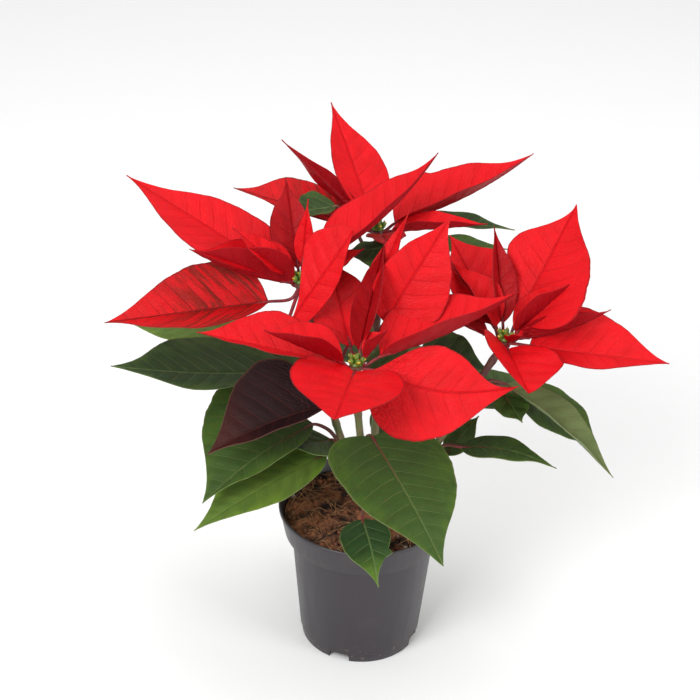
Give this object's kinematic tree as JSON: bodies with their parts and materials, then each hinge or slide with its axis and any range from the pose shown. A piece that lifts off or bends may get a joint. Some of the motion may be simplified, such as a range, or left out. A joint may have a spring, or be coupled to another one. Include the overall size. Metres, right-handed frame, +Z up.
{
  "type": "potted poinsettia",
  "caption": "Potted poinsettia: red bract heads round small yellow-green flowers, dark green leaves on bare shoots, in a grey nursery pot with soil.",
  "frame": {"origin": "centre of the pot's underside, on the surface it stands on", "axes": "+Z up; -Y towards the front of the plant, the side with the largest green leaf; +X to the right seen from the front"},
  "size_m": [0.3774, 0.264, 0.3554],
  "materials": {
    "pot": "satin",
    "soil": "rough",
    "stem": "satin",
    "bract": "satin",
    "leaf": "satin",
    "purple_leaf": "satin",
    "cyathia": "satin"
  },
  "bodies": {
    "root": {"pot": "pot", "soil": "soil", "stem": "stem", "bracts_left": "bract", "cyathia_left": "cyathia", "bracts_front": "bract", "cyathia_front": "cyathia", "bracts_back": "bract", "cyathia_back": "cyathia", "bracts_right": "bract", "cyathia_right": "cyathia", "leaf_front": "leaf", "leaf_young": "leaf", "leaf_left_high": "leaf", "leaf_left_pale": "leaf", "leaf_purple": "purple_leaf", "leaf_left_mid": "leaf", "leaf_left_low": "leaf", "leaf_left_inner": "leaf", "leaf_right_high": "leaf", "leaf_right_behind": "leaf", "leaf_right_small": "leaf", "leaf_right_low": "leaf", "leaf_right_inner": "leaf", "leaf_centre": "leaf", "leaf_centre_small": "leaf", "leaf_back_left": "leaf", "leaf_back_front": "leaf", "leaf_back_right": "leaf", "leaf_back_low": "leaf", "leaf_rear_left": "leaf", "leaf_rear_mid": "leaf", "leaf_rear_right": "leaf", "leaf_rear_side": "leaf", "leaf_rear_low": "leaf"}
  },
  "joints": []
}
